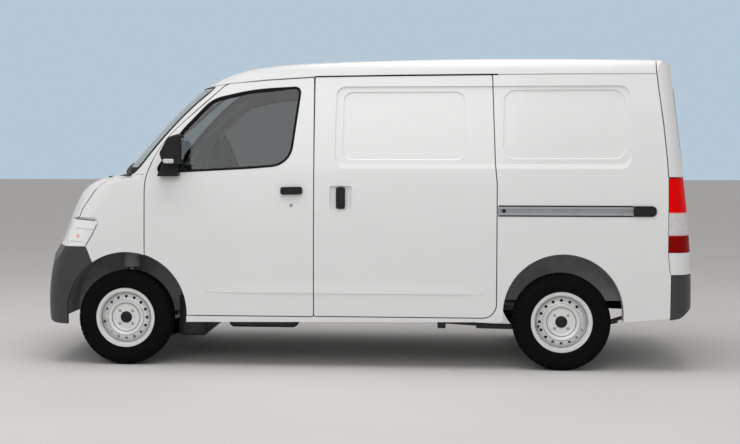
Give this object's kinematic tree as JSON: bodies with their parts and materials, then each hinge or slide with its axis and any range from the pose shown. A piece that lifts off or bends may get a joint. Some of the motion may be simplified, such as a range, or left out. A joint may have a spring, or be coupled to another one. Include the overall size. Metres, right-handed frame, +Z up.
{
  "type": "compact panel van",
  "caption": "Short-nosed panel van with a closed load space, front doors, sliding side doors, a lifting tailgate and steered front wheels.",
  "frame": {"origin": "on the road, below the middle of the vehicle's overall box", "axes": "+X forward, +Y to the vehicle's left, +Z up"},
  "size_m": [4.0371, 1.97, 1.8999],
  "materials": {
    "body_white": "gloss white paint",
    "window_glass": "tinted glass",
    "lamp_glass": "clear lamp cover",
    "lamp_red": "red and clear lamp covers",
    "dark_plastic": "grained black plastic",
    "underbody_paint": "body primer and sealer",
    "chassis_black": "satin black chassis paint",
    "engine_metal": "cast and dusty",
    "exhaust_steel": "dull aluminised steel",
    "tyre_rubber": "rubber",
    "wheel_silver": "silver wheel paint",
    "seat_fabric": "grey woven cloth"
  },
  "bodies": {
    "van_body": {"chassis_frame": "chassis_black", "cowl_panel": "dark_plastic", "dampers": "chassis_black", "dashboard": "dark_plastic", "exhaust": "exhaust_steel", "floor_pan": "underbody_paint", "front_bumper": "dark_plastic", "front_fenders": "body_white", "front_panel": "underbody_paint", "front_suspension": "chassis_black", "fuel_tank": "chassis_black", "headlamps": "lamp_glass", "leaf_springs": "chassis_black", "nose_panel": "body_white", "power_unit": "engine_metal", "rear_axle": "chassis_black", "rear_bumper": "dark_plastic", "roof_panel": "body_white", "seats": "seat_fabric", "side_frame_left": "body_white", "side_frame_right": "body_white", "slide_rails": "dark_plastic", "slider_handles": "dark_plastic", "sliding_door_left": "body_white", "sliding_door_right": "body_white", "spare_wheel": "tyre_rubber", "tail_lamps": "lamp_red", "windscreen": "window_glass", "wipers": "dark_plastic"},
    "bonnet_lid": {"bonnet": "body_white"},
    "tailgate_door": {"tailgate": "body_white", "tailgate_glass": "window_glass"},
    "door_left": {"front_door_left": "body_white", "door_glass_left": "window_glass", "door_trim_left": "dark_plastic"},
    "door_right": {"front_door_right": "body_white", "door_glass_right": "window_glass", "door_trim_right": "dark_plastic"},
    "steering_hand_wheel": {"steering_wheel": "dark_plastic"},
    "steer_left": {"knuckle_left": "chassis_black", "strut_left": "chassis_black"},
    "steer_right": {"knuckle_right": "chassis_black", "strut_right": "chassis_black"},
    "wheel_fl": {"wheel_front_left": "wheel_silver", "tyre_front_left": "tyre_rubber"},
    "wheel_fr": {"wheel_front_right": "wheel_silver", "tyre_front_right": "tyre_rubber"},
    "wheel_rl": {"wheel_rear_left": "wheel_silver", "tyre_rear_left": "tyre_rubber"},
    "wheel_rr": {"wheel_rear_right": "wheel_silver", "tyre_rear_right": "tyre_rubber"}
  },
  "joints": [
    {"name": "steer_left_turn", "type": "hinge", "parent": "van_body", "child": "steer_left", "pos_m": [1.4525, 0.655, 0.205], "axis": [0, -0.1687, 0.9857], "range_deg": [-35, 35]},
    {"name": "steer_right_turn", "type": "hinge", "parent": "van_body", "child": "steer_right", "pos_m": [1.4525, -0.655, 0.205], "axis": [0, 0.1687, 0.9857], "range_deg": [-35, 35]},
    {"name": "wheel_fl_spin", "type": "hinge", "parent": "steer_left", "child": "wheel_fl", "pos_m": [1.4525, 0.73, 0.29], "axis": [0, 1, 0], "continuous": true},
    {"name": "wheel_fr_spin", "type": "hinge", "parent": "steer_right", "child": "wheel_fr", "pos_m": [1.4525, -0.73, 0.29], "axis": [0, 1, 0], "continuous": true},
    {"name": "wheel_rl_spin", "type": "hinge", "parent": "van_body", "child": "wheel_rl", "pos_m": [-1.1975, 0.7325, 0.29], "axis": [0, 1, 0], "continuous": true},
    {"name": "wheel_rr_spin", "type": "hinge", "parent": "van_body", "child": "wheel_rr", "pos_m": [-1.1975, -0.7325, 0.29], "axis": [0, 1, 0], "continuous": true},
    {"name": "door_left_swing", "type": "hinge", "parent": "van_body", "child": "door_left", "pos_m": [1.282, 0.823, 0.8], "axis": [0, 0, -1], "range_deg": [0, 65]},
    {"name": "door_right_swing", "type": "hinge", "parent": "van_body", "child": "door_right", "pos_m": [1.282, -0.823, 0.8], "axis": [0, 0, 1], "range_deg": [0, 65]},
    {"name": "tailgate_lift", "type": "hinge", "parent": "van_body", "child": "tailgate_door", "pos_m": [-1.749, 0, 1.891], "axis": [0, 1, 0], "range_deg": [0, 85]},
    {"name": "bonnet_lift", "type": "hinge", "parent": "van_body", "child": "bonnet_lid", "pos_m": [1.598, 0, 1.164], "axis": [0, -1, 0], "range_deg": [0, 50]},
    {"name": "hand_wheel_turn", "type": "hinge", "parent": "van_body", "child": "steering_hand_wheel", "pos_m": [0.962, -0.355, 1.262], "axis": [-0.9397, 0, 0.342], "range_deg": [-595, 595]}
  ],
  "couplings": [
    {"joint": "steer_right_turn", "follows": "steer_left_turn", "ratio": 1},
    {"joint": "hand_wheel_turn", "follows": "steer_left_turn", "ratio": 17}
  ]
}
